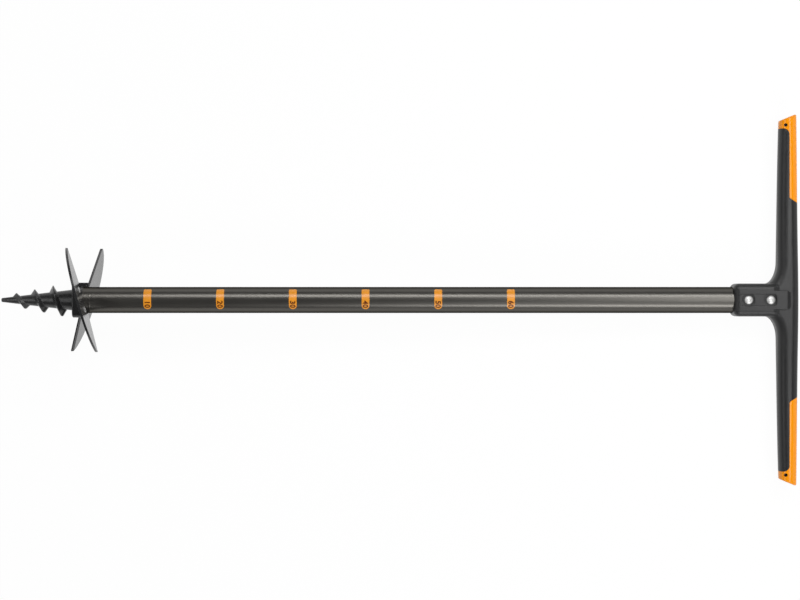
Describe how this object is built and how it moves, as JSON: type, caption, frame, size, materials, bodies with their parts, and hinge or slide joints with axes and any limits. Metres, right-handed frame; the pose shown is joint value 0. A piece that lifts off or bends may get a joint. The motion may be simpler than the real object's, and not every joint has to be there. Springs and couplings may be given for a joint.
{
  "type": "hand earth auger",
  "caption": "Hand earth auger: threaded screw point, pitched cutting blades, steel tube shaft with depth marks, and a moulded T handle with hang holes in its end caps.",
  "frame": {"origin": "the tip of the screw point, on the shaft's axis", "axes": "+X up the shaft to the handle, +Y along the handle bar, +Z out of the front that carries the depth marks; the tool lies on its back with its front up"},
  "size_m": [1.1005, 0.5126, 0.15],
  "materials": {
    "cast_paint": "satin black over casting",
    "blade_coat": "gloss black coat on steel",
    "shaft_paint": "graphite metallic, semi-gloss",
    "plug_alloy": "turned",
    "handle_black": "fine moulded grain",
    "cap_orange": "smooth satin",
    "screw_zinc": "bright zinc",
    "mark_orange": "printed film"
  },
  "bodies": {
    "root": {"screw_point": "cast_paint", "blade_hub": "cast_paint", "front_blade": "blade_coat", "rear_blade": "blade_coat", "shaft_tube": "shaft_paint", "weld_bead": "cast_paint", "shaft_plug": "plug_alloy", "handle_body": "handle_black", "end_cap_left": "cap_orange", "end_cap_right": "cap_orange", "front_blade_screw_leading": "screw_zinc", "front_blade_screw_trailing": "screw_zinc", "rear_blade_screw_leading": "screw_zinc", "rear_blade_screw_trailing": "screw_zinc", "handle_screw_lower": "screw_zinc", "handle_screw_upper": "screw_zinc", "depth_band_10": "mark_orange", "depth_band_20": "mark_orange", "depth_band_30": "mark_orange", "depth_band_40": "mark_orange", "depth_band_50": "mark_orange", "depth_band_60": "mark_orange"}
  },
  "joints": []
}
